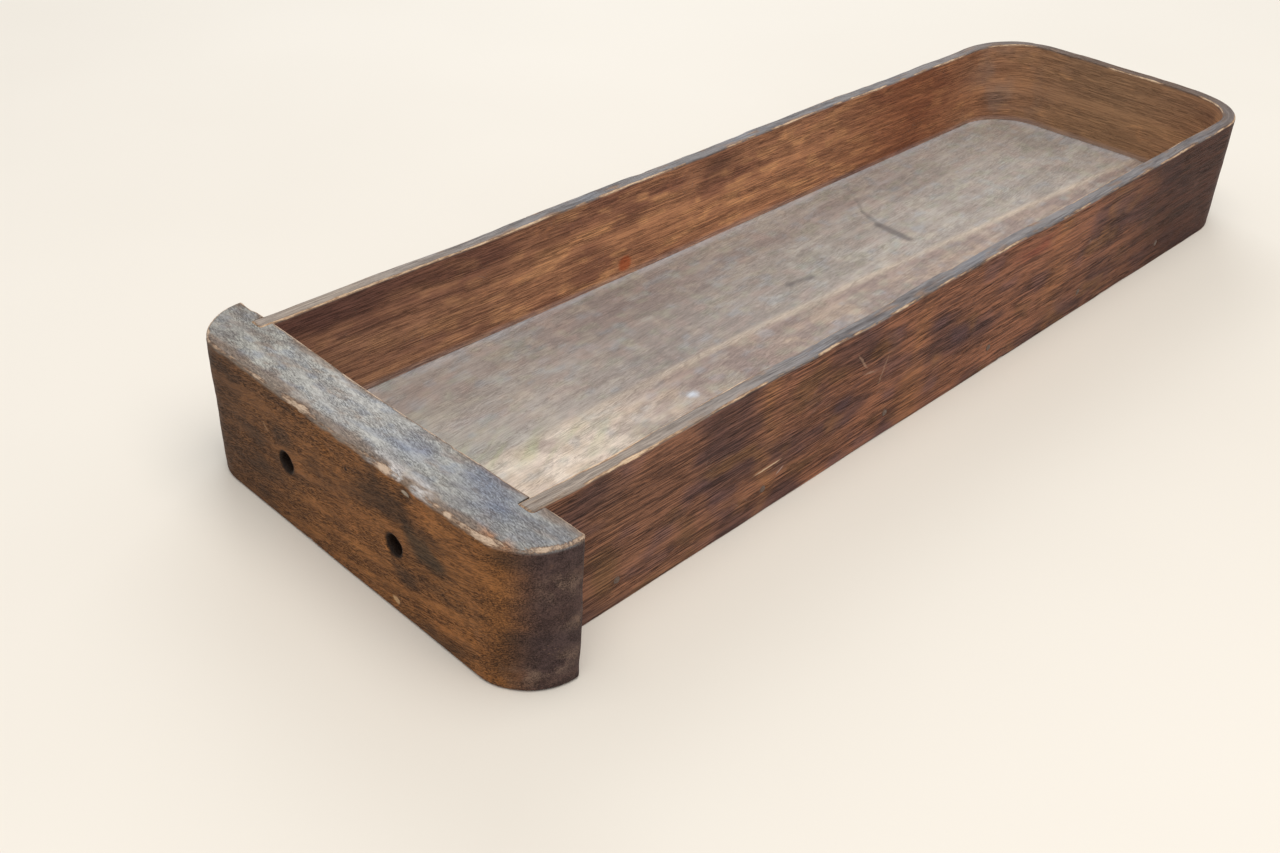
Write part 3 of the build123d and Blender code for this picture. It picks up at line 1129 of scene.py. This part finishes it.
def floor_paint():
    """A plain pale floor, very slightly uneven in tone."""
    material, tree, surface = new_material("floor_paint")
    place = add(tree, "TexCoord").outputs["Object"]
    cloud = add(tree, "TexNoise", {"Vector": place, "Scale": 3.0, "Detail": 3.0}).outputs[0]
    colour = mix(tree, cloud, rgba(214, 206, 194), rgba(226, 219, 208))
    feed(tree, surface, {"Base Color": colour, "Roughness": 0.8, "Specular IOR Level": 0.2})
    return material


# ---- making the drawer ----

brad_heads = [brad_place(node)[0] for node in brad_nodes]
rim = make_rim(brad_heads)
board = make_board()
block = make_block()
brads = [make_brad(node, seed) for seed, node in enumerate(brad_nodes)]

rim.data.materials.append(oak_finish("rim_oak"))
board.data.materials.append(oak_finish("bottom_oak"))
block.data.materials.append(oak_finish("block_oak"))
iron = brad_iron()
for brad in brads:
    brad.data.materials.append(iron)


# ---- floor, light and camera ----


def make_floor():
    half_width = 20.0
    mesh = bpy.data.meshes.new("floor")
    corners = [(x * half_width, y * half_width, 0) for x, y in ((-1, -1), (1, -1), (1, 1), (-1, 1))]
    mesh.from_pydata(corners, [], [(0, 1, 2, 3)])
    floor = new_object("floor", mesh)
    mesh.materials.append(floor_paint())


def facing(place, right, up, forward):
    """The placement of a light or camera that looks forward from a place."""
    turn = Matrix([[right[k], up[k], -forward[k]] for k in range(3)]).to_4x4()
    return Matrix.Translation(place) @ turn


def add_area_light(name, place, aim, size, power, colour):
    """A soft rectangular light aimed at a place."""
    data = bpy.data.lights.new(name, "AREA")
    data.shape = "RECTANGLE"
    data.size, data.size_y = size
    data.energy = power
    data.color = colour
    direction = np.array(aim) - np.array(place)
    direction = direction / np.linalg.norm(direction)
    across = np.cross(direction, [0, 0, 1.0])
    across = across / np.linalg.norm(across)
    light = new_object(name, data)
    light.matrix_world = facing(place, across, np.cross(across, direction), direction)


def add_camera():
    """A camera above the front right corner, looking down along the drawer."""
    place = (0.2642, -0.3670, 0.2551)
    heading, down, roll = (math.radians(angle) for angle in (-43.97, 34.39, 1.94))
    forward = np.array(
        [math.sin(heading) * math.cos(down), math.cos(heading) * math.cos(down), -math.sin(down)]
    )
    level = np.array([math.cos(heading), -math.sin(heading), 0])
    upright = np.cross(level, forward)
    right = level * math.cos(roll) + upright * math.sin(roll)
    up = upright * math.cos(roll) - level * math.sin(roll)
    data = bpy.data.cameras.new("camera")
    data.sensor_width = 36.0
    data.lens = 38.42
    data.clip_start = 0.01
    camera = new_object("camera", data)
    camera.matrix_world = facing(place, right, up, forward)
    bpy.context.scene.camera = camera


def set_sky():
    world = bpy.data.worlds.new("soft room")
    world.use_nodes = True
    background = world.node_tree.nodes["Background"]
    background.inputs["Color"].default_value = (0.93, 0.96, 1.0, 1)
    background.inputs["Strength"].default_value = 0.55
    bpy.context.scene.world = world


make_floor()
middle = (0.0, 0.0, 0.02)
add_area_light("overhead", (0.55, -0.25, 1.7), middle, (1.8, 1.8), 30, (1.0, 0.97, 0.93))
add_area_light("window", (-1.5, 1.3, 1.2), middle, (1.6, 1.2), 22, (0.86, 0.93, 1.0))
set_sky()
add_camera()
bpy.context.scene.view_settings.view_transform = "Standard"
